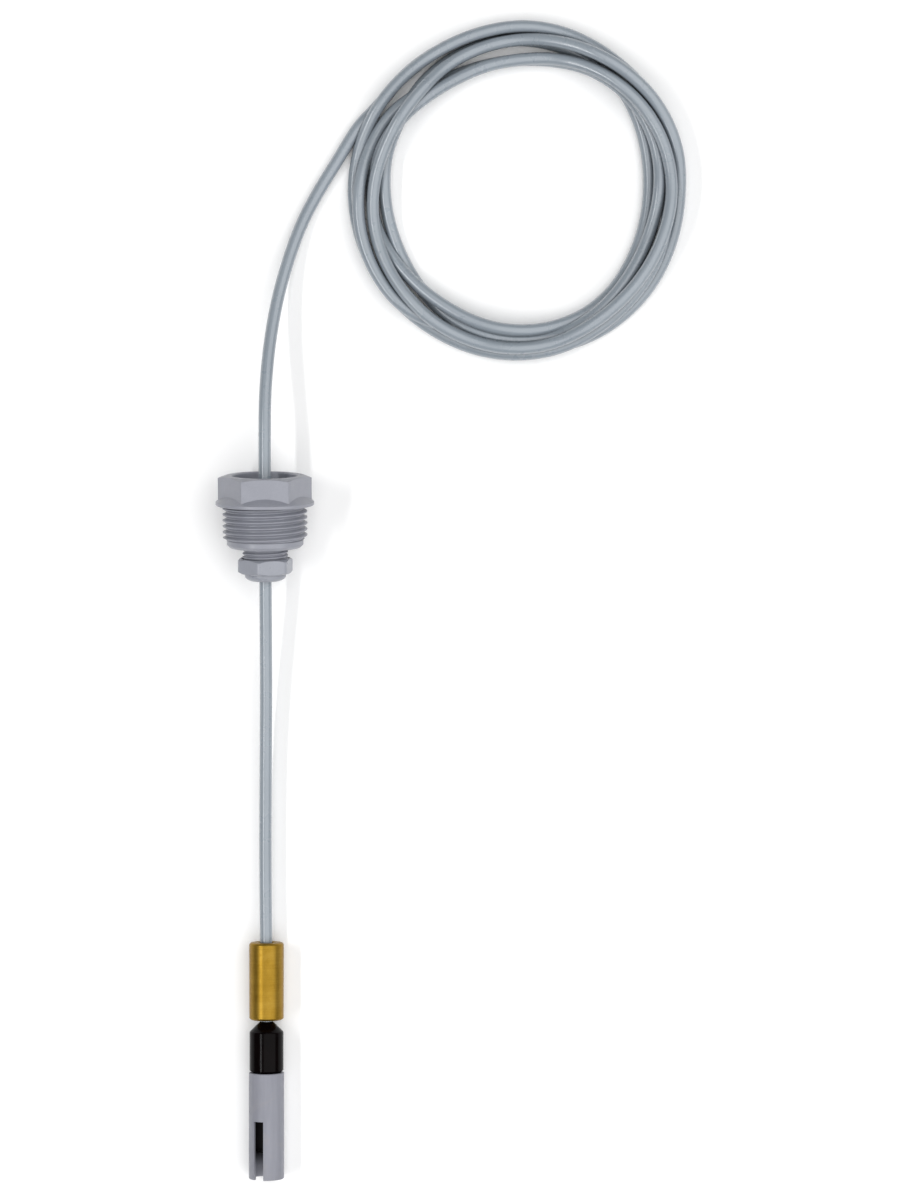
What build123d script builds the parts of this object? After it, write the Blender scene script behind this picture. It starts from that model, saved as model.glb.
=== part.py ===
from build123d import *
import math
import os

# Cable-hung level probe: a screw-in bush with a G1 pipe thread and a cable
# gland, a grey sheathed lead, a loose brass sinking weight and a slotted probe
# head. The whole set lies flat: +Z up, the probe line runs along Y with the
# probe tip at -Y, and the rest of the lead is coiled at +Y, +X.
# All sizes in millimetres. The ground is z = 0.

# ---- driving dimensions -------------------------------------------------
CABLE_D = 4.9              # lead sheath diameter
CORE_D = 1.6               # insulated core

# bush
TILT = 8.0                 # the bush lies on its flange rim, gland end dipping
FLANGE_Y = 127.3           # where the axis crosses the flange underside
HEX_AF = 32.0              # spanner size of the bush head
HEX_TURN = -2.9            # head's turn about its own axis at rest
HEX_TOP = -11.7            # axial stations count from the flange underside,
FLANGE_R = 19.35           # positive towards the gland
RIM_H = 1.6
CONE_TOP = -3.9
CONE_R = 16.0
G1_MAJOR_R = 33.249 / 2    # G1 pipe thread
G1_PITCH = 2.309
G1_DEPTH = 1.479
G1_END = 13.4
LEADIN_R = 15.05
LEADIN_END = 16.6
RECESS_R = 12.75
RECESS_END = 12.4
WEB_BORE_R = 4.0
SEAT_A = 17.4              # where the seal's seat begins
SEAT_R = 6.1
SPIGOT_R = 8.95            # spigot thread, 18 mm nominal
SPIGOT_PITCH = 1.5
SPIGOT_DEPTH = 0.75
SPIGOT_END = 24.0

# gland nut
NUT_AF = 19.8
NUT_TURN = 40.67
NUT_A0, NUT_A1 = 21.0, 26.9
LIP_R = 8.15
LIP_END = 29.8
NUT_BORE_R = 9.04
NUT_BORE_END = 24.35
RING_POCKET_R = 6.15
RING_POCKET_END = 25.5
NUT_HOLE_R = 2.95

SEAL_R = 6.0
SEAL_BORE_R = 2.5
SEAL_A0, SEAL_A1 = 17.6, 24.3
RING_A0, RING_A1 = 24.42, 25.4
RING_R = 6.05
RING_BORE_R = 3.0

# probe head, stations count from the boot's top towards the tip
HEAD_Z = 6.95
BOOT_TOP_Y = -76.7
BOOT_TOP_R = 2.75
BOOT_R = 6.72
BOOT_CONE = 4.05
BOOT_CYL_END = 19.4
BOOT_NECK_R = 5.3
SLEEVE_TOP = 20.2
SLEEVE_END = 62.1
SLEEVE_R = 6.95
SLEEVE_BORE_R = 5.4
SLOT_W = 4.1
SLOT_TOP = 39.0
SLOT_LEAN = 25.2           # slot direction, degrees from straight up towards -X
PLUG_END = 26.0
SHEATH_END = 14.0
HOLDER_R = 5.35
HOLDER_END = 51.9
HOLDER_BORE_R = 3.6
HOLDER_FLOOR = 44.5
CORE_X = 1.3
SPLICE_A0, SPLICE_A1 = 33.0, 39.0
SPLICE_R = 1.2
LEG_R = 0.3
BEAD_R = 2.1
BEAD_A0, BEAD_A1 = 44.5, 52.6
ORING_A, ORING_R, ORING_SEC = 30.0, 4.9, 0.5

# sinking weight
WEIGHT_R = 6.85
WEIGHT_BORE_R = 3.1
WEIGHT_Y0, WEIGHT_Y1 = -76.05, -45.4
WEIGHT_EDGE = 1.2

# coil
COIL_X, COIL_Y = 99.1, 252.0
COIL_H = 12.0

os.makedirs("parts", exist_ok=True)


def write(shape, node):
    if isinstance(shape, (list, tuple, ShapeList)):
        shape = Compound(children=[s for s in shape])
    export_step(shape, "parts/" + node + ".step")
    return shape


def turned(points):
    """Revolve a closed (radius, station) outline about the local Z axis."""
    with BuildPart() as bp:
        with BuildSketch(Plane.XZ) as sk:
            with BuildLine():
                Polyline(*points, close=True)
            make_face()
        revolve(axis=Axis.Z)
    return bp.part


def rod(r, a0, a1, x=0.0, y=0.0):
    return Pos(x, y, (a0 + a1) / 2) * Cylinder(r, a1 - a0)


def hexagon(af, turn, a0, a1, corner):
    sk = RegularPolygon(af / 2, 6, major_radius=False, rotation=turn)
    sk = fillet(sk.vertices(), corner)
    return Pos(0, 0, a0) * extrude(sk, a1 - a0)


def thread_groove(major_r, depth, pitch, flat, angle, a0, a1):
    """Solid that cuts one right-hand V groove with flat root into a cylinder."""
    slope = math.tan(math.radians(angle / 2))
    over = 0.2
    top_w = flat / 2 + slope * (depth + over)
    path = Helix(pitch=pitch, height=a1 - a0, radius=major_r - depth)
    path = Pos(0, 0, a0) * path
    start = path @ 0
    pl = Plane(origin=start, x_dir=(1, 0, 0), z_dir=path % 0)
    # local x outwards, local y along the screw axis
    prof = pl * make_face(Polyline((0, -flat / 2), (depth + over, -top_w),
                                   (depth + over, top_w), (0, flat / 2),
                                   close=True).edges())
    return sweep(prof, path=path, is_frenet=True)


s, c = math.sin(math.radians(TILT)), math.cos(math.radians(TILT))
FLANGE_Z = FLANGE_R * c
bush_frame = Plane(origin=(0, FLANGE_Y, FLANGE_Z), x_dir=(1, 0, 0),
                   z_dir=(0, -c, -s))
head_frame = Plane(origin=(0, BOOT_TOP_Y, HEAD_Z), x_dir=(1, 0, 0),
                   z_dir=(0, -1, 0))


def on_bush(shape):
    return bush_frame.location * shape


def on_head(shape):
    return head_frame.location * shape


def bush_point(a, up=0.0):
    return (0, FLANGE_Y - a * c - up * s, FLANGE_Z - a * s + up * c)


# ---- threaded bush --------------------------------------------------------
flat_g1 = G1_PITCH / 6
thread = rod(G1_MAJOR_R, 0.0, G1_END)
thread -= thread_groove(G1_MAJOR_R, G1_DEPTH, G1_PITCH, flat_g1, 55,
                        1.35 - 2 * G1_PITCH, G1_END + 3.2)
# run-out chamfer of the last crest
thread &= turned([(0, -0.5), (17.2, -0.5), (17.2, G1_END - 1.0),
                  (14.9, G1_END + 0.2), (14.9, G1_END + 0.5), (0, G1_END + 0.5)])

head = hexagon(HEX_AF, HEX_TURN, HEX_TOP, -0.8, 0.6)
# rounding of the head's top edge
head &= turned([(0, HEX_TOP), (15.3, HEX_TOP), (18.7, HEX_TOP + 1.1),
                (18.7, 0), (0, 0)])
flange = turned([(0, CONE_TOP), (CONE_R, CONE_TOP), (FLANGE_R - 0.35, -RIM_H),
                 (FLANGE_R, -RIM_H + 0.3), (FLANGE_R, -0.3),
                 (FLANGE_R - 0.3, 0.0), (0, 0)])
lead_in = turned([(0, G1_END - 0.9), (14.4, G1_END - 0.9), (14.4, G1_END - 0.2),
                  (LEADIN_R, G1_END + 0.3), (LEADIN_R, LEADIN_END - 1.1),
                  (LEADIN_R - 1.1, LEADIN_END), (0, LEADIN_END)])
spigot = rod(SPIGOT_R, LEADIN_END - 1.0, SPIGOT_END)
spigot -= thread_groove(SPIGOT_R, SPIGOT_DEPTH, SPIGOT_PITCH, 0.22, 60,
                        LEADIN_END - 2.0, SPIGOT_END + 3.4)
body = (head + flange) + thread
nose = lead_in + spigot
bush = body + nose
hollow = turned([(0, HEX_TOP - 1), (RECESS_R + 0.5, HEX_TOP - 1),
                 (RECESS_R + 0.5, HEX_TOP), (RECESS_R, HEX_TOP + 0.5),
                 (RECESS_R - 0.35, RECESS_END), (WEB_BORE_R + 0.6, RECESS_END),
                 (WEB_BORE_R, RECESS_END + 0.6), (WEB_BORE_R, SEAT_A),
                 (SEAT_R, SEAT_A), (SEAT_R, SPIGOT_END - 0.5),
                 (SEAT_R + 0.5, SPIGOT_END), (SEAT_R + 0.5, SPIGOT_END + 1),
                 (0, SPIGOT_END + 1)])
bush -= hollow
print("bush valid", bush.is_valid, "solids", len(bush.solids()),
      "spigot cut", round(spigot.volume), "thread cut", round(thread.volume))
write(on_bush(bush), "threaded_bush")

# ---- gland nut ------------------------------------------------------------
nut = hexagon(NUT_AF, NUT_TURN, NUT_A0, NUT_A1, 2.2)
nut &= turned([(0, NUT_A0), (9.75, NUT_A0), (11.4, NUT_A0 + 0.95),
               (11.4, NUT_A1 - 0.95), (9.75, NUT_A1), (0, NUT_A1)])
lip = turned([(0, NUT_A1 - 0.5), (LIP_R, NUT_A1 - 0.5), (LIP_R, NUT_A1 + 1.0),
              (LIP_R - 0.16, NUT_A1 + 1.6), (LIP_R - 0.62, NUT_A1 + 2.15),
              (LIP_R - 1.3, NUT_A1 + 2.6), (LIP_R - 2.1, LIP_END),
              (0, LIP_END)])
nut = nut + lip
nut -= turned([(0, NUT_A0 - 1), (NUT_BORE_R + 0.35, NUT_A0 - 1),
               (NUT_BORE_R + 0.35, NUT_A0), (NUT_BORE_R, NUT_A0 + 0.35),
               (NUT_BORE_R, NUT_BORE_END), (RING_POCKET_R, NUT_BORE_END),
               (RING_POCKET_R, RING_POCKET_END), (NUT_HOLE_R, RING_POCKET_END),
               (NUT_HOLE_R, LIP_END - 0.5), (NUT_HOLE_R + 0.5, LIP_END),
               (NUT_HOLE_R + 0.5, LIP_END + 1), (0, LIP_END + 1)])
write(on_bush(nut), "gland_nut")

# ---- seal and slip ring ----------------------------------------------------
seal = turned([(SEAL_BORE_R, SEAL_A0), (SEAL_R - 0.5, SEAL_A0),
               (SEAL_R, SEAL_A0 + 0.5), (SEAL_R, SEAL_A1 - 1.4),
               (SEAL_R - 1.1, SEAL_A1), (SEAL_BORE_R, SEAL_A1)])
write(on_bush(seal), "cable_seal")
ring = turned([(RING_BORE_R, RING_A0), (RING_R, RING_A0), (RING_R, RING_A1),
               (RING_BORE_R, RING_A1)])
write(on_bush(ring), "slip_ring")

# ---- sinking weight --------------------------------------------------------
wz = WEIGHT_R + 0.02
e = WEIGHT_EDGE
wl = WEIGHT_Y1 - WEIGHT_Y0
wpts = [(WEIGHT_BORE_R + 0.35, 0.0), (WEIGHT_R - e, 0.0)]
for k in range(1, 6):
    t = math.radians(18 * k)
    wpts.append((WEIGHT_R - e + e * math.sin(t), e - e * math.cos(t)))
for k in range(1, 6):
    t = math.radians(18 * k)
    wpts.append((WEIGHT_R - e + e * math.cos(t), wl - e + e * math.sin(t)))
wpts += [(WEIGHT_BORE_R + 0.35, wl), (WEIGHT_BORE_R, wl - 0.35),
         (WEIGHT_BORE_R, 0.35)]
weight_frame = Plane(origin=(0, WEIGHT_Y1, wz), x_dir=(1, 0, 0),
                     z_dir=(0, -1, 0))
write(weight_frame.location * turned(wpts), "sink_weight")

# ---- probe head ------------------------------------------------------------
R = CABLE_D / 2
boot = turned([(0, 0), (BOOT_TOP_R - 0.25, 0), (BOOT_TOP_R, 0.2),
               (BOOT_R - 0.15, BOOT_CONE - 0.1), (BOOT_R, BOOT_CONE + 0.25),
               (BOOT_R, BOOT_CYL_END - 0.15),
               (BOOT_R - 0.15, BOOT_CYL_END), (BOOT_NECK_R, SLEEVE_TOP),
               (BOOT_NECK_R, PLUG_END), (0, PLUG_END)])
boot -= rod(R, -1, PLUG_END + 1)
boot -= rod(3.6, 9.0, 13.0)
write(on_head(boot), "cable_boot")

crimp = turned([(R, 9.0), (3.3, 9.0), (3.6, 9.6), (3.35, 10.4), (3.35, 11.6),
                (3.6, 12.4), (3.3, 13.0), (R, 13.0)])
write(on_head(crimp), "anchor_crimp")

lean = math.radians(SLOT_LEAN)
sleeve = turned([(SLEEVE_BORE_R, SLEEVE_TOP), (SLEEVE_R - 0.25, SLEEVE_TOP),
                 (SLEEVE_R, SLEEVE_TOP + 0.25), (SLEEVE_R, SLEEVE_END - 0.25),
                 (SLEEVE_R - 0.25, SLEEVE_END), (SLEEVE_BORE_R + 0.15, SLEEVE_END),
                 (SLEEVE_BORE_R, SLEEVE_END - 0.15)])
cutter = Rot(0, 0, SLOT_LEAN) * (Pos(0, 5.5, (SLOT_TOP + SLEEVE_END + 1) / 2)
                                 * Box(SLOT_W, 5.0, SLEEVE_END + 1 - SLOT_TOP))
sleeve -= cutter
write(on_head(sleeve), "protective_sleeve")

holder = turned([(HOLDER_BORE_R, PLUG_END), (HOLDER_R, PLUG_END),
                 (HOLDER_R, ORING_A - 0.6), (ORING_R - ORING_SEC, ORING_A - 0.6),
                 (ORING_R - ORING_SEC, ORING_A + 0.6), (HOLDER_R, ORING_A + 0.6),
                 (HOLDER_R, HOLDER_END - 2.6), (HOLDER_R - 0.35, HOLDER_END - 1.4),
                 (HOLDER_R - 1.2, HOLDER_END - 0.4), (HOLDER_R - 2.2, HOLDER_END),
                 (BEAD_R, HOLDER_END), (BEAD_R, HOLDER_FLOOR),
                 (HOLDER_BORE_R, HOLDER_FLOOR)])
write(on_head(holder), "sensor_holder")

with BuildPart() as ob:
    with BuildSketch(Plane.XZ) as osk:
        with Locations((ORING_R, ORING_A)):
            Circle(ORING_SEC)
    revolve(axis=Axis.Z)
write(on_head(ob.part), "o_ring")

for x, name in ((-CORE_X, "head_core_brown"), (CORE_X, "head_core_white")):
    write(on_head(rod(CORE_D / 2, SHEATH_END, SPLICE_A0, x)), name)

splice = [(0, SPLICE_A0), (SPLICE_R - 0.1, SPLICE_A0), (SPLICE_R, SPLICE_A0 + 0.3),
          (SPLICE_R, SPLICE_A0 + 1.2), (SPLICE_R - 0.25, SPLICE_A0 + 1.7),
          (SPLICE_R - 0.25, SPLICE_A0 + 2.4), (SPLICE_R, SPLICE_A0 + 2.9),
          (SPLICE_R, SPLICE_A1 - 2.9), (SPLICE_R - 0.25, SPLICE_A1 - 2.4),
          (SPLICE_R - 0.25, SPLICE_A1 - 1.7), (SPLICE_R, SPLICE_A1 - 1.2),
          (SPLICE_R, SPLICE_A1 - 0.3), (SPLICE_R - 0.1, SPLICE_A1), (0, SPLICE_A1)]
sp = turned(splice)
splices = [on_head(Pos(x, 0, 0) * sp) for x in (-CORE_X, CORE_X)]
write(splices, "splices")
legs = [on_head(rod(LEG_R, SPLICE_A1, BEAD_A0, x)) for x in (-CORE_X, CORE_X)]
write(legs, "thermistor_legs")

bead = turned([(0, BEAD_A0), (BEAD_R, BEAD_A0), (BEAD_R, BEAD_A1 - 1.6),
               (BEAD_R - 0.25, BEAD_A1 - 0.9), (BEAD_R - 0.85, BEAD_A1 - 0.3),
               (BEAD_R - 1.5, BEAD_A1), (0, BEAD_A1)])
write(on_head(bead), "thermistor_bead")

fill = rod(HOLDER_BORE_R, PLUG_END, HOLDER_FLOOR)
for x in (-CORE_X, CORE_X):
    fill -= rod(CORE_D / 2, PLUG_END - 1, SPLICE_A0, x)
    fill -= rod(LEG_R, SPLICE_A1, HOLDER_FLOOR + 1, x)
    fill -= Pos(x, 0, 0) * sp
write(on_head(fill), "potting_fill")

# ---- the lead: free stretch from the head to the coil ----------------------
GROUND = CABLE_D / 2
slope = s / c


def axis_z(y):
    return FLANGE_Z - (FLANGE_Y - y) * slope


route = [
    (0.00, BOOT_TOP_Y - SHEATH_END, HEAD_Z),      # inside the boot
    (0.00, BOOT_TOP_Y + 22.0, HEAD_Z),
    (-0.45, -14.0, HEAD_Z - 0.05),
    (-0.30, 25.3, HEAD_Z),
    (0.00, 55.3, axis_z(55.3)),                   # straight up through the gland
    (0.00, 130.8, axis_z(130.8)),                 # inside the bush recess
    (-0.10, 152.0, 19.9),
    (-0.15, 172.0, 17.2),
    (1.60, 193.0, 12.6),
    (5.30, 214.0, 7.6),
    (12.00, 234.5, 3.9),
    (21.50, 253.0, GROUND),
    (32.60, 271.0, GROUND),
    (46.20, 286.2, GROUND),
]


def arc_radii(points, share=0.45):
    """Corner radii of a route: each arc takes a share of its shorter run."""
    out = []
    for a, b, d in zip(points, points[1:], points[2:]):
        u, v = Vector(b) - Vector(a), Vector(d) - Vector(b)
        turn = math.radians(u.get_angle(v))
        out.append(share * min(u.length, v.length) / math.tan(turn / 2))
    return out


radii = arc_radii(route)
path = FilletPolyline(*route, radius=radii)
start_plane = Plane(origin=path @ 0, z_dir=path % 0)
tube = sweep(start_plane * Circle(CABLE_D / 2), path=path)
length = path.length
print("cable_run length %.1f mm, arc radii:" % length,
      ", ".join("%.0f" % r for r in radii))
print("tube volume / (section x length) = %.4f"
      % (tube.volume / (math.pi * R * R * length)))

# ---- the coil: closed outer shape of the loose turns ------------------------
OUTER = [66.5, 67.7, 68.0, 68.0, 67.6, 66.9, 67.3, 67.7, 67.8, 67.5, 67.0,
         66.3, 65.7, 65.9, 66.5, 67.1, 67.1, 67.3, 67.4, 67.4, 67.3, 67.0,
         66.7, 66.7, 66.7, 66.9, 67.3, 67.4, 66.9, 66.7, 66.7, 66.6, 66.8,
         67.0, 66.6, 66.2]
INNER = [49.9, 50.7, 51.5, 53.1, 55.0, 54.4, 53.2, 51.7, 50.1, 49.1, 48.5,
         48.1, 47.9, 48.6, 50.1, 51.3, 50.5, 50.1, 49.9, 49.5, 49.5, 49.6,
         50.3, 51.0, 51.2, 51.5, 52.1, 52.8, 53.3, 53.3, 53.3, 52.7, 51.8,
         50.8, 50.2, 49.9]


def loop(radii_mm):
    pts = [(COIL_X + r * math.cos(math.radians(10 * i)),
            COIL_Y + r * math.sin(math.radians(10 * i)))
           for i, r in enumerate(radii_mm)]
    return make_face(Spline(*pts, periodic=True).edges())


ring2d = loop(OUTER) - loop(INNER)
coil = extrude(ring2d, COIL_H)
# room under the turns for the stripped end of the lead
END_DEG = 253.0
END_R = 59.5
end_frame = Plane(
    origin=(COIL_X + END_R * math.cos(math.radians(END_DEG)),
            COIL_Y + END_R * math.sin(math.radians(END_DEG)), 0),
    x_dir=(math.sin(math.radians(END_DEG)), -math.cos(math.radians(END_DEG)), 0),
    z_dir=(0, 0, 1))
pocket = end_frame.location * (Pos(0, 0, 2.2) * Box(27.0, 7.0, 4.6))
coil -= pocket
write(coil, "cable_coil")
# the free stretch ends on the coil's outer face
write(tube - coil, "cable_run")

# ---- stripped end of the lead ------------------------------------------------
ALONG = Rot(0, 90, 0)      # local Z turned to run along the frame's x
for y, name in ((-1.5, "lead_core_brown"), (1.5, "lead_core_white")):
    core = end_frame.location * (Pos(-12.5, y, CORE_D / 2 + 0.35) * ALONG
                                 * Pos(0, 0, 8.0) * Cylinder(CORE_D / 2, 16.0))
    write(core, name)
fer = turned([(0, 16.0), (1.15, 16.0), (1.3, 16.3), (1.3, 18.6), (0.75, 19.2),
              (0.62, 19.3), (0.62, 20.4), (0.72, 20.9), (0.62, 21.4),
              (0.62, 24.2), (0.5, 24.4), (0, 24.4)])
ferrules = [end_frame.location * (Pos(-12.5, y, CORE_D / 2 + 0.35) * ALONG * fer)
            for y in (-1.5, 1.5)]
write(ferrules, "end_ferrules")
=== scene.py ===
import math
import bpy
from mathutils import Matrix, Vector


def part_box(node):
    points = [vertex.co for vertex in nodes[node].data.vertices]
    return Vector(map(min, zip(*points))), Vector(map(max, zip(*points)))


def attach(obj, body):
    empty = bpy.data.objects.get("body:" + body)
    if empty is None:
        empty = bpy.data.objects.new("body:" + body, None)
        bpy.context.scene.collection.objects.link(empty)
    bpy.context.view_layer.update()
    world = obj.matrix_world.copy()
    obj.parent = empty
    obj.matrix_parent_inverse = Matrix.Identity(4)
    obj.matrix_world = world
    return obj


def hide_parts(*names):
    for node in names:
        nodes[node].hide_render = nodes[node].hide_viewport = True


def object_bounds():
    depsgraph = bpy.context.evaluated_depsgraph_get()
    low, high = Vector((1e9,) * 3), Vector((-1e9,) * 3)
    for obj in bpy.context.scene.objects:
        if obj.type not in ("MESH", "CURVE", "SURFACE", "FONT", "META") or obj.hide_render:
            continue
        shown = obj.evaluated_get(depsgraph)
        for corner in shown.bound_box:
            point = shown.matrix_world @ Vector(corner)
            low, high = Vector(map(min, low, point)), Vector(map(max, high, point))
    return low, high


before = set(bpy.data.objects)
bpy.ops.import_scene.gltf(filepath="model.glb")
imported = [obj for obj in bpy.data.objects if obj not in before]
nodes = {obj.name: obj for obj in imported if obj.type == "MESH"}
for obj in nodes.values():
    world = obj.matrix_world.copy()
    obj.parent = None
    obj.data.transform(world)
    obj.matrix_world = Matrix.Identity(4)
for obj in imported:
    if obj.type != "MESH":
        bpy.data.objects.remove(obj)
cad_lo, cad_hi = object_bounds()
scene = bpy.context.scene

# ---------------------------------------------------------------- camera
cam_data = bpy.data.cameras.new("view_camera")
cam = bpy.data.objects.new("view_camera", cam_data)
scene.collection.objects.link(cam)
scene.camera = cam
cam.location = (0.0726, 0.0900, 1.413)
cam.rotation_euler = (0.0, 0.0, 0.0)
cam_data.sensor_fit = "AUTO"
cam_data.sensor_width = 36.0
cam_data.lens = 106.6
cam_data.clip_start = 0.05
cam_data.clip_end = 20.0
cam_data.dof.use_dof = False
scene.view_settings.view_transform = "Standard"

# ---------------------------------------------------------------- node helpers


class Tree:
    """One material's node tree, with short names for the nodes it uses."""

    def __init__(self, name):
        self.mat = bpy.data.materials.new(name)
        self.mat.use_nodes = True
        self.t = self.mat.node_tree
        self.t.nodes.clear()
        self.out = self.t.nodes.new("ShaderNodeOutputMaterial")
        self.bsdf = self.t.nodes.new("ShaderNodeBsdfPrincipled")
        self.link(self.bsdf.outputs[0], self.out.inputs[0])
        self.tc = self.t.nodes.new("ShaderNodeTexCoord")

    def link(self, a, b):
        self.t.links.new(a, b)

    def set(self, **kw):
        for k, v in kw.items():
            self.bsdf.inputs[k.replace("_", " ")].default_value = v

    def coords(self, scale=(1, 1, 1), rot=(0, 0, 0), uv=False):
        m = self.t.nodes.new("ShaderNodeMapping")
        m.inputs["Scale"].default_value = scale
        m.inputs["Rotation"].default_value = rot
        self.link(self.tc.outputs["UV" if uv else "Object"], m.inputs["Vector"])
        return m.outputs[0]

    def noise(self, vec, scale, detail=2.0, rough=0.5, distort=0.0):
        n = self.t.nodes.new("ShaderNodeTexNoise")
        n.inputs["Scale"].default_value = scale
        n.inputs["Detail"].default_value = detail
        n.inputs["Roughness"].default_value = rough
        n.inputs["Distortion"].default_value = distort
        self.link(vec, n.inputs["Vector"])
        return n.outputs["Fac"]

    def voronoi(self, vec, scale, feature="F1"):
        n = self.t.nodes.new("ShaderNodeTexVoronoi")
        n.feature = feature
        n.inputs["Scale"].default_value = scale
        self.link(vec, n.inputs["Vector"])
        return n.outputs["Distance"]

    def ramp(self, fac, stops):
        n = self.t.nodes.new("ShaderNodeValToRGB")
        el = n.color_ramp.elements
        el[0].position, el[0].color = stops[0][0], (*stops[0][1], 1)
        el[1].position, el[1].color = stops[-1][0], (*stops[-1][1], 1)
        for p, c in stops[1:-1]:
            e = el.new(p)
            e.color = (*c, 1)
        self.link(fac, n.inputs[0])
        return n.outputs[0]

    def span(self, fac, a, b, lo, hi):
        n = self.t.nodes.new("ShaderNodeMapRange")
        n.inputs["From Min"].default_value = a
        n.inputs["From Max"].default_value = b
        n.inputs["To Min"].default_value = lo
        n.inputs["To Max"].default_value = hi
        self.link(fac, n.inputs["Value"])
        return n.outputs[0]

    def mix(self, fac, a, b, kind="MIX"):
        n = self.t.nodes.new("ShaderNodeMix")
        n.data_type = "RGBA"
        n.blend_type = kind
        for sock, v in ((n.inputs[0], fac), (n.inputs[6], a), (n.inputs[7], b)):
            if isinstance(v, (int, float)):
                sock.default_value = v
            elif isinstance(v, tuple):
                sock.default_value = (*v, 1)
            else:
                self.link(v, sock)
        return n.outputs[2]

    def math(self, op, a, b=0.0):
        n = self.t.nodes.new("ShaderNodeMath")
        n.operation = op
        for sock, v in ((n.inputs[0], a), (n.inputs[1], b)):
            if isinstance(v, (int, float)):
                sock.default_value = v
            else:
                self.link(v, sock)
        return n.outputs[0]

    def bump(self, height, strength, distance, after=None):
        n = self.t.nodes.new("ShaderNodeBump")
        n.inputs["Strength"].default_value = strength
        n.inputs["Distance"].default_value = distance
        self.link(height, n.inputs["Height"])
        if after is not None:
            self.link(after, n.inputs["Normal"])
        return n.outputs[0]

    def crevice(self, reach):
        n = self.t.nodes.new("ShaderNodeAmbientOcclusion")
        n.samples = 6
        n.inputs["Distance"].default_value = reach
        return n.outputs["AO"]

    def round_edges(self, radius):
        n = self.t.nodes.new("ShaderNodeBevel")
        n.samples = 4
        n.inputs["Radius"].default_value = radius
        return n.outputs[0]

    def colour(self, sock):
        self.link(sock, self.bsdf.inputs["Base Color"])

    def rough(self, sock):
        self.link(sock, self.bsdf.inputs["Roughness"])

    def normal(self, sock):
        self.link(sock, self.bsdf.inputs["Normal"])


# ---------------------------------------------------------------- materials


def moulded_plastic(name, base, rough, light=1.05, dark=0.95, speck=0.0):
    """Moulded plastic: faint flow mottling, a fine spark-eroded grain, softly rounded edges."""
    m = Tree(name)
    v = m.coords()
    mottle = m.noise(v, 120, 4, 0.55, 0.6)
    fine = m.noise(v, 1500, 3, 0.6)
    c = m.ramp(mottle, [(0.3, tuple(x * dark for x in base)), (0.52, base),
                        (0.75, tuple(min(1, x * light) for x in base))])
    c = m.mix(m.span(fine, 0.35, 0.65, 0.0, 0.16), c, tuple(x * 0.72 for x in base))
    # painted shade: the colour darkens where ambient occlusion finds crevices, thread valleys, corners and gaps
    # between parts
    painted_crevice_shade = m.span(m.crevice(0.0018), 0.15, 0.7, 0.30, 0.0)
    c = m.mix(painted_crevice_shade, c, tuple(x * 0.30 for x in base))
    if speck:
        dust = m.span(m.voronoi(v, 260), 0.0, 0.09, speck, 0.0)
        c = m.mix(dust, c, (0.5, 0.47, 0.4))
    m.colour(c)
    m.rough(m.span(m.noise(v, 300, 4), 0.3, 0.7, rough - 0.06, rough + 0.1))
    b = m.bump(fine, 0.25, 0.00003, m.round_edges(0.00035))
    b = m.bump(m.noise(v, 200, 2), 0.12, 0.00006, b)
    m.normal(b)
    m.set(Specular_IOR_Level=0.5)
    return m.mat


def cable_sheath(name):
    """Soft extruded sheath: long faint draw lines, slow shade changes, light handling marks."""
    m = Tree(name)
    v = m.coords()
    long_lines = m.noise(m.coords((420, 26, 1), uv=True), 1.0, 3, 0.5)
    slow = m.noise(v, 22, 3, 0.5, 0.4)
    c = m.ramp(slow, [(0.3, (0.222, 0.256, 0.293)), (0.7, (0.254, 0.290, 0.328))])
    c = m.mix(m.span(long_lines, 0.35, 0.7, 0.0, 0.22), c, (0.265, 0.31, 0.345))
    # painted shade: the sheath darkens towards near-black where ambient occlusion finds the gaps between the coil's
    # turns
    c = m.mix(m.span(m.crevice(0.0045), 0.12, 0.75, 0.48, 0.0), c, (0.030, 0.033, 0.040))
    scuff = m.span(m.noise(m.coords((1, 1, 1)), 380, 5, 0.7, 1.2), 0.64, 0.80, 0.0, 0.16)
    c = m.mix(scuff, c, (0.42, 0.465, 0.49))
    m.colour(c)
    m.rough(m.span(m.noise(v, 160, 4), 0.3, 0.7, 0.25, 0.33))
    b = m.bump(long_lines, 0.10, 0.00004)
    b = m.bump(m.noise(v, 900, 3, 0.6), 0.10, 0.00003, b)
    m.normal(b)
    m.set(Specular_IOR_Level=0.7, Coat_Weight=0.45, Coat_Roughness=0.20)
    return m.mat


def turned_brass(name):
    """Turned brass: fine tool lines round the axis, a soft tarnish, fine grit."""
    m = Tree(name)
    v = m.coords()
    lines = m.noise(m.coords((40, 5200, 40)), 1.0, 4, 0.65)
    coarse = m.noise(m.coords((12, 1500, 12)), 1.0, 2, 0.5)
    tarnish = m.noise(v, 95, 5, 0.6, 0.8)
    c = m.ramp(tarnish, [(0.25, (0.248, 0.143, 0.014)), (0.5, (0.300, 0.180, 0.024)),
                         (0.78, (0.352, 0.222, 0.038))])
    c = m.mix(m.span(lines, 0.38, 0.62, 0.0, 0.35), c, (0.180, 0.098, 0.010))
    grit = m.span(m.noise(v, 2200, 3, 0.7), 0.55, 0.75, 0.0, 0.4)
    c = m.mix(grit, c, (0.40, 0.26, 0.06))
    m.colour(c)
    m.rough(m.span(m.noise(v, 500, 4), 0.3, 0.7, 0.38, 0.46))
    b = m.bump(lines, 0.4, 0.00002)
    b = m.bump(coarse, 0.25, 0.00003, b)
    b = m.bump(m.noise(v, 1700, 3, 0.7), 0.2, 0.00002, b)
    m.normal(b)
    m.set(Metallic=1.0)
    return m.mat


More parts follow.
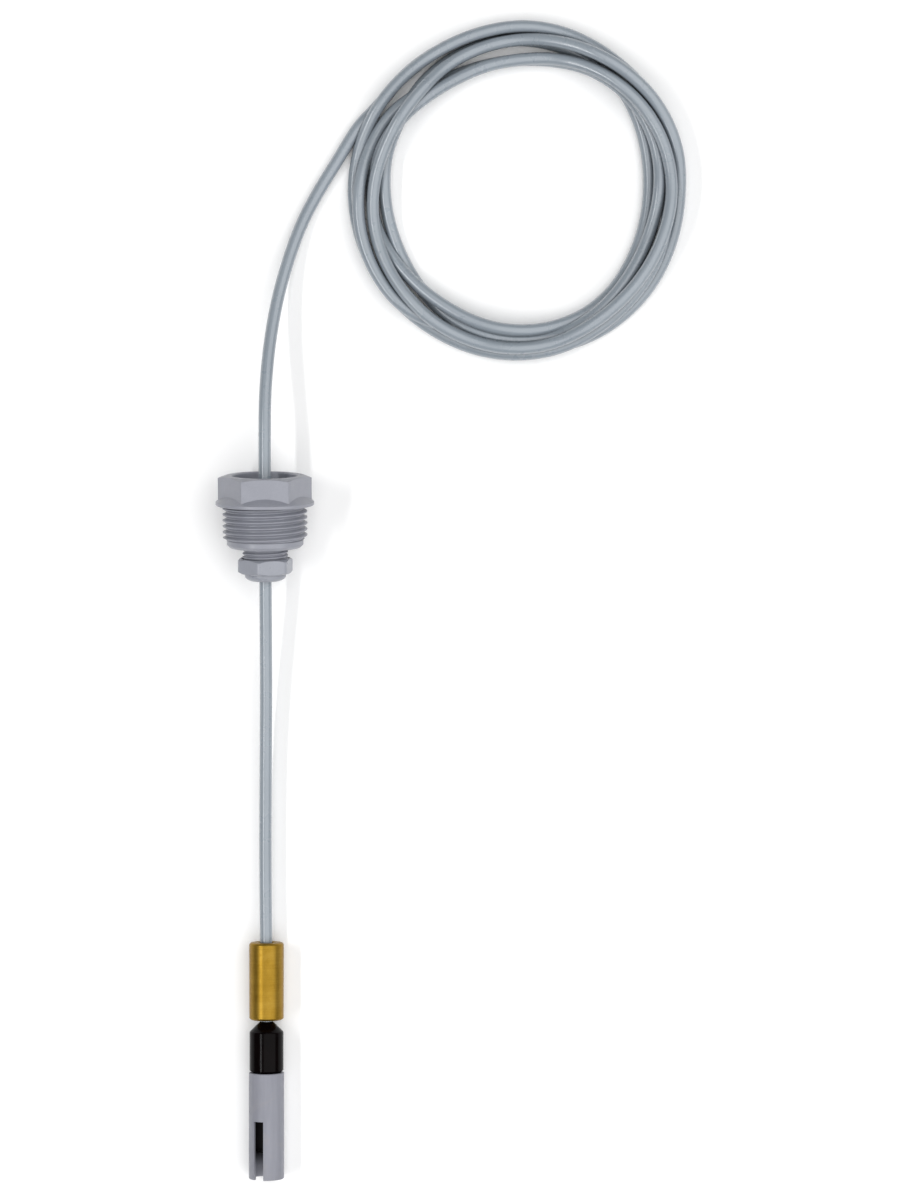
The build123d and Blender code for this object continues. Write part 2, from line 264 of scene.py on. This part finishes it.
def black_moulding(name, rough, base=(0.0016, 0.0007, 0.0008), spec=0.060):
    """Black moulded compound: fine orange peel, a little dust in its grain."""
    m = Tree(name)
    v = m.coords()
    peel = m.noise(v, 700, 3, 0.6)
    cloud = m.noise(v, 150, 4, 0.6)
    c = m.ramp(cloud, [(0.3, tuple(x * 0.7 for x in base)), (0.7, tuple(x * 1.5 for x in base))])
    dust = m.span(m.noise(v, 1300, 5, 0.75), 0.66, 0.8, 0.0, 0.3)
    c = m.mix(dust, c, (0.022, 0.017, 0.016))
    m.colour(c)
    m.rough(m.span(m.noise(v, 420, 4), 0.3, 0.7, rough - 0.03, rough + 0.06))
    b = m.bump(peel, 0.2, 0.00003)
    b = m.bump(m.noise(v, 180, 2), 0.2, 0.00006, b)
    m.normal(b)
    m.set(Specular_IOR_Level=spec)
    return m.mat


def sleeve_plastic(name):
    """Machined grey tube: streaks along its length, faint beige stains, fine turning lines."""
    m = Tree(name)
    v = m.coords()
    streak = m.noise(m.coords((420, 40, 420)), 1.0, 4, 0.6)
    stain = m.noise(v, 75, 4, 0.6, 0.7)
    c = m.ramp(streak, [(0.3, (0.212, 0.217, 0.254)), (0.7, (0.246, 0.251, 0.288))])
    c = m.mix(m.span(stain, 0.52, 0.72, 0.0, 0.38), c, (0.318, 0.292, 0.270))
    pits = m.span(m.noise(v, 1600, 4, 0.7), 0.62, 0.8, 0.0, 0.35)
    c = m.mix(pits, c, (0.18, 0.18, 0.20))
    # painted shade: the bore is painted near-black round the insert, and this painted shade clears towards its
    # mouth
    lo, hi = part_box("protective_sleeve")
    sep = m.t.nodes.new("ShaderNodeSeparateXYZ")
    m.link(m.tc.outputs["Object"], sep.inputs[0])
    dz = m.math("SUBTRACT", sep.outputs["Z"], (lo.z + hi.z) / 2)
    rad = m.math("SQRT", m.math("ADD", m.math("MULTIPLY", sep.outputs["X"], sep.outputs["X"]),
                                m.math("MULTIPLY", dz, dz)))
    bore = m.span(rad, 0.0056, 0.0062, 1.0, 0.0)
    deep = m.span(sep.outputs["Y"], lo.y + 0.0045, lo.y + 0.0100, 0.0, 0.97)
    c = m.mix(m.math("MULTIPLY", bore, deep), c, (0.004, 0.003, 0.003))
    m.colour(c)
    m.rough(m.span(m.noise(v, 350, 4), 0.3, 0.7, 0.42, 0.58))
    b = m.bump(m.noise(m.coords((30, 2600, 30)), 1.0, 3, 0.6), 0.22, 0.00004)
    b = m.bump(m.noise(v, 900, 3, 0.6), 0.2, 0.00004, b)
    m.normal(b)
    m.set(Specular_IOR_Level=0.45)
    return m.mat


def rubber(name, base=(0.018, 0.018, 0.019)):
    """Sealing rubber: dull, with talc in its grain."""
    m = Tree(name)
    v = m.coords()
    c = m.ramp(m.noise(v, 320, 4, 0.65), [(0.35, base), (0.8, tuple(x * 2.6 for x in base))])
    c = m.mix(m.span(m.noise(v, 1900, 4, 0.7), 0.6, 0.8, 0.0, 0.4), c, (0.12, 0.12, 0.11))
    m.colour(c)
    m.rough(m.span(m.noise(v, 500, 3), 0.3, 0.7, 0.6, 0.8))
    m.normal(m.bump(m.noise(v, 1200, 4, 0.6), 0.4, 0.00005))
    m.set(Specular_IOR_Level=0.35)
    return m.mat


def insulation(name, base):
    """Thin core insulation: draw lines and a slightly waxy skin."""
    m = Tree(name)
    v = m.coords()
    lines = m.noise(m.coords((900, 900, 120)), 1.0, 3, 0.6)
    c = m.ramp(lines, [(0.3, tuple(x * 0.82 for x in base)), (0.7, tuple(min(1, x * 1.1) for x in base))])
    c = m.mix(m.span(m.noise(v, 1500, 4, 0.7), 0.6, 0.8, 0.0, 0.3), c, tuple(x * 0.6 + 0.05 for x in base))
    m.colour(c)
    m.rough(m.span(m.noise(v, 700, 3), 0.3, 0.7, 0.3, 0.45))
    m.normal(m.bump(lines, 0.25, 0.00004))
    m.set(Specular_IOR_Level=0.5)
    return m.mat


def tinned_metal(name):
    """Tinned crimp: dull bright metal with pressed dents and oxide clouds."""
    m = Tree(name)
    v = m.coords()
    c = m.ramp(m.noise(v, 500, 4, 0.6), [(0.3, (0.42, 0.42, 0.43)), (0.7, (0.68, 0.68, 0.67))])
    c = m.mix(m.span(m.noise(v, 2600, 3, 0.7), 0.55, 0.8, 0.0, 0.4), c, (0.3, 0.3, 0.31))
    m.colour(c)
    m.rough(m.span(m.noise(v, 900, 4), 0.3, 0.7, 0.26, 0.44))
    b = m.bump(m.noise(v, 420, 2), 0.35, 0.00012)
    b = m.bump(m.noise(v, 3000, 3, 0.6), 0.3, 0.00003, b)
    m.normal(b)
    m.set(Metallic=1.0)
    return m.mat


def cast_resin(name):
    """Cast resin: small bubbles and a flowed surface."""
    m = Tree(name)
    v = m.coords()
    bubbles = m.span(m.voronoi(v, 900), 0.0, 0.2, 1.0, 0.0)
    c = m.ramp(m.noise(v, 240, 4, 0.6), [(0.3, (0.012, 0.012, 0.014)), (0.8, (0.035, 0.033, 0.034))])
    c = m.mix(m.math("MULTIPLY", bubbles, 0.4), c, (0.07, 0.065, 0.06))
    m.colour(c)
    m.rough(m.span(m.noise(v, 500, 3), 0.3, 0.7, 0.22, 0.38))
    m.normal(m.bump(bubbles, 0.35, 0.0001))
    m.set(Specular_IOR_Level=0.5)
    return m.mat


grey_bush = moulded_plastic("grey_moulded_bush", (0.262, 0.270, 0.310), 0.36)
grey_nut = moulded_plastic("grey_moulded_nut", (0.278, 0.290, 0.330), 0.31)
white_ring = moulded_plastic("white_washer_plastic", (0.70, 0.70, 0.68), 0.45)
sheath = cable_sheath("grey_cable_sheath")
brass = turned_brass("turned_brass")
boot_black = black_moulding("black_boot_moulding", 0.16)
insert_black = black_moulding("black_insert_plastic", 0.50, (0.0026, 0.0022, 0.0024), 0.04)
bead = black_moulding("black_bead_epoxy", 0.18, (0.010, 0.007, 0.007), 0.3)
sleeve = sleeve_plastic("grey_sleeve_tube")
seal = rubber("black_seal_rubber")
ring = rubber("black_ring_rubber", (0.014, 0.014, 0.014))
brown = insulation("brown_core_skin", (0.16, 0.062, 0.022))
white = insulation("white_core_skin", (0.70, 0.70, 0.66))
tinned = tinned_metal("tinned_crimp")
resin = cast_resin("black_cast_resin")

looks = {
    "threaded_bush": grey_bush,
    "gland_nut": grey_nut,
    "slip_ring": white_ring,
    "cable_seal": seal,
    "sink_weight": brass,
    "cable_boot": boot_black,
    "anchor_crimp": tinned,
    "protective_sleeve": sleeve,
    "sensor_holder": insert_black,
    "o_ring": ring,
    "head_core_brown": brown,
    "head_core_white": white,
    "splices": tinned,
    "thermistor_legs": tinned,
    "thermistor_bead": bead,
    "potting_fill": resin,
    "cable_run": sheath,
    "cable_coil": sheath,
    "lead_core_brown": brown,
    "lead_core_white": white,
    "end_ferrules": tinned,
}
for name, mat in looks.items():
    o = nodes[name]
    if not o.material_slots:
        o.data.materials.append(mat)
    for s in o.material_slots:
        s.material = mat

# ---------------------------------------------------------------- the cord
# The route's control points in mm, from the head's boot through the weight and
# the gland, up over the bush, down to the ground and round the coil's turns to
# the stripped end. Heights in the coil follow which turn lies over which.
ROUTE = [
    (0.0, -90.7, 6.95), (0.0, -54.7, 6.95), (-0.5, -14.0, 6.90), (-0.3, 25.3, 6.95),
    (0.0, 55.3, 9.04), (0.0, 109.8, 16.70), (0.0, 130.8, 19.65), (-0.1, 152.0, 19.90), (-0.1, 172.0, 17.20),
    (1.6, 193.0, 12.60), (5.3, 214.0, 7.60), (12.6, 237.5, 3.11), (20.9, 253.2, 2.54),
    (27.8, 264.1, 2.45), (36.3, 278.4, 2.45), (43.1, 284.8, 2.45), (54.5, 299.0, 2.45),
    (68.1, 308.5, 2.45), (83.5, 315.3, 2.46), (100.3, 317.7, 2.45), (117.2, 314.9, 2.94),
    (131.8, 306.1, 5.55), (143.6, 294.9, 5.39), (152.6, 281.9, 2.45), (157.8, 267.0, 2.45),
    (159.3, 251.0, 5.21), (158.1, 234.9, 8.14), (152.5, 219.7, 7.83), (142.7, 206.9, 6.32),
    (130.0, 196.3, 7.12), (114.9, 188.8, 7.20), (98.0, 186.6, 6.19), (81.2, 189.6, 2.45),
    (65.8, 196.8, 2.45), (52.5, 207.3, 2.45), (42.2, 220.8, 2.45), (35.9, 236.6, 2.46),
    (33.8, 253.5, 2.45), (36.5, 270.4, 2.64), (43.6, 285.2, 7.60), (54.6, 298.0, 7.16),
    (68.1, 307.8, 7.20), (83.4, 314.5, 7.22), (100.2, 317.7, 7.07), (117.3, 315.1, 7.61),
    (132.5, 307.2, 9.93), (145.7, 296.6, 9.13), (156.4, 283.9, 4.21), (163.0, 268.3, 2.45),
    (163.7, 251.1, 2.50), (158.8, 235.1, 2.45), (150.8, 221.3, 2.45), (140.9, 209.1, 2.45),
    (127.9, 200.4, 2.49), (113.3, 195.7, 2.45), (98.2, 194.2, 3.94), (83.1, 195.9, 2.45),
    (67.4, 198.7, 4.91), (52.3, 206.4, 7.64), (42.1, 220.3, 7.13), (36.6, 236.3, 7.16),
    (36.1, 253.1, 7.05), (40.3, 269.2, 3.76), (48.5, 282.7, 5.60), (61.2, 291.5, 7.34),
    (74.0, 298.1, 2.71), (86.7, 302.5, 2.45), (100.0, 304.6, 2.48), (113.9, 304.2, 2.45),
    (128.1, 300.4, 6.37), (140.8, 292.1, 8.31), (150.4, 280.3, 6.70), (155.4, 265.9, 6.42),
    (155.6, 250.6, 8.89), (152.4, 236.6, 6.25), (146.8, 223.3, 6.55), (138.6, 211.0, 7.86),
    (127.5, 200.4, 10.38), (113.7, 193.7, 6.66), (98.0, 192.3, 8.35), (82.9, 195.6, 7.38),
    (69.7, 203.4, 5.07), (59.9, 214.6, 2.45), (52.9, 226.8, 2.58), (48.3, 239.7, 2.45),
    (46.3, 252.9, 5.28), (47.2, 266.8, 5.74), (52.5, 280.4, 2.45), (59.5, 293.3, 2.51),
    (70.6, 303.8, 2.45), (84.7, 310.5, 2.45), (100.2, 312.7, 2.45), (115.8, 310.3, 2.45),
    (129.8, 303.3, 2.45), (141.4, 293.0, 2.45), (148.2, 279.3, 2.45), (151.4, 265.3, 2.45),
    (151.9, 251.4, 2.45), (149.9, 237.9, 2.48), (145.2, 224.9, 2.45), (137.6, 212.6, 3.49),
    (126.4, 202.9, 5.73), (112.6, 197.4, 8.18), (98.0, 195.9, 11.45), (83.9, 198.9, 10.47),
    (71.3, 205.4, 9.02), (59.9, 213.8, 7.41), (50.0, 224.7, 4.74), (42.8, 238.3, 2.45),
    (40.9, 253.4, 2.45), (44.4, 267.9, 5.16), (52.4, 279.8, 9.19), (63.2, 288.7, 10.91),
    (74.6, 296.1, 7.35), (86.7, 301.5, 7.15), (99.9, 304.0, 7.24), (114.0, 304.5, 6.96),
    (128.4, 300.5, 11.01), (141.4, 292.3, 12.90), (152.1, 280.9, 10.92), (158.8, 266.5, 9.62),
    (160.7, 250.3, 10.80), (157.4, 234.4, 12.84), (150.6, 220.2, 12.15), (140.7, 208.2, 11.61),
    (128.4, 198.1, 14.56), (114.2, 191.0, 10.82), (97.9, 188.6, 11.83), (81.9, 191.6, 9.53),
    (67.2, 198.6, 10.13), (55.5, 209.5, 10.33), (46.8, 222.8, 7.62), (42.1, 237.7, 6.89),
    (42.0, 252.9, 7.86), (45.8, 266.8, 10.44), (52.1, 279.2, 14.38), (60.7, 290.5, 14.29),
    (71.2, 301.8, 8.20), (84.8, 308.9, 7.00), (100.1, 312.2, 6.93), (116.0, 310.8, 10.59),
    (131.3, 305.1, 14.49), (145.4, 296.0, 13.92), (156.7, 283.6, 8.92), (163.3, 267.8, 6.83),
    (163.8, 250.6, 7.54), (161.3, 234.1, 6.58), (155.1, 218.7, 3.52), (144.6, 205.4, 2.45),
    (130.7, 195.4, 2.48), (114.9, 190.0, 2.45), (96.6, 190.7, 2.45), (90.8, 192.4, 2.45),
]
cord_data = bpy.data.curves.new("grey_cable", "CURVE")
cord_data.dimensions = "3D"
line = cord_data.splines.new("NURBS")
line.points.add(len(ROUTE) - 1)
for p, (x, y, z) in zip(line.points, ROUTE):
    p.co = (x * 0.001, y * 0.001, z * 0.001, 1.0)
line.order_u = 3
line.use_endpoint_u = True
cord_data.resolution_u = 8
cord_data.bevel_depth = 0.00245
cord_data.bevel_resolution = 7
cord_data.use_fill_caps = True
cable = bpy.data.objects.new("grey_cable", cord_data)
scene.collection.objects.link(cable)
cord_data.materials.append(sheath)
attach(cable, "root")
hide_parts("cable_run", "cable_coil")

# ---------------------------------------------------------------- floor and light
floor_mesh = bpy.data.meshes.new("floor")
f = 3.0
floor_mesh.from_pydata([(-f, -f, -0.0003), (f, -f, -0.0003), (f, f, -0.0003), (-f, f, -0.0003)], [], [(0, 1, 2, 3)])
floor = bpy.data.objects.new("floor", floor_mesh)
scene.collection.objects.link(floor)
fm = Tree("pale_floor")
fm.colour(fm.ramp(fm.noise(fm.coords(), 3, 2), [(0.3, (0.965, 0.965, 0.965)), (0.7, (0.98, 0.98, 0.98))]))
fm.set(Roughness=0.9, Specular_IOR_Level=0.1)
floor_mesh.materials.append(fm.mat)


def soft_light(name, place, aim, size, power, colour=(1, 1, 1)):
    d = bpy.data.lights.new(name, "AREA")
    d.shape = "RECTANGLE"
    d.size, d.size_y = size
    d.energy = power
    d.color = colour
    o = bpy.data.objects.new(name, d)
    scene.collection.objects.link(o)
    o.location = place
    o.rotation_mode = "QUATERNION"
    o.rotation_quaternion = (Vector(aim) - Vector(place)).to_track_quat("-Z", "Y")
    return o


mid = (cad_lo + cad_hi) / 2
soft_light("softbox_strip_left", (mid.x - 0.95, mid.y - 0.14, 1.24), (mid.x, mid.y - 0.14, 0.0), (1.30, 0.08), 10.5)
soft_light("softbox_broad_right", (mid.x + 0.80, mid.y - 0.20, 1.75), mid, (3.4, 3.2), 62.0)
world = bpy.data.worlds.new("studio")
scene.world = world
world.use_nodes = True
world.node_tree.nodes["Background"].inputs[0].default_value = (1, 1, 1, 1)
world.node_tree.nodes["Background"].inputs[1].default_value = 0.17
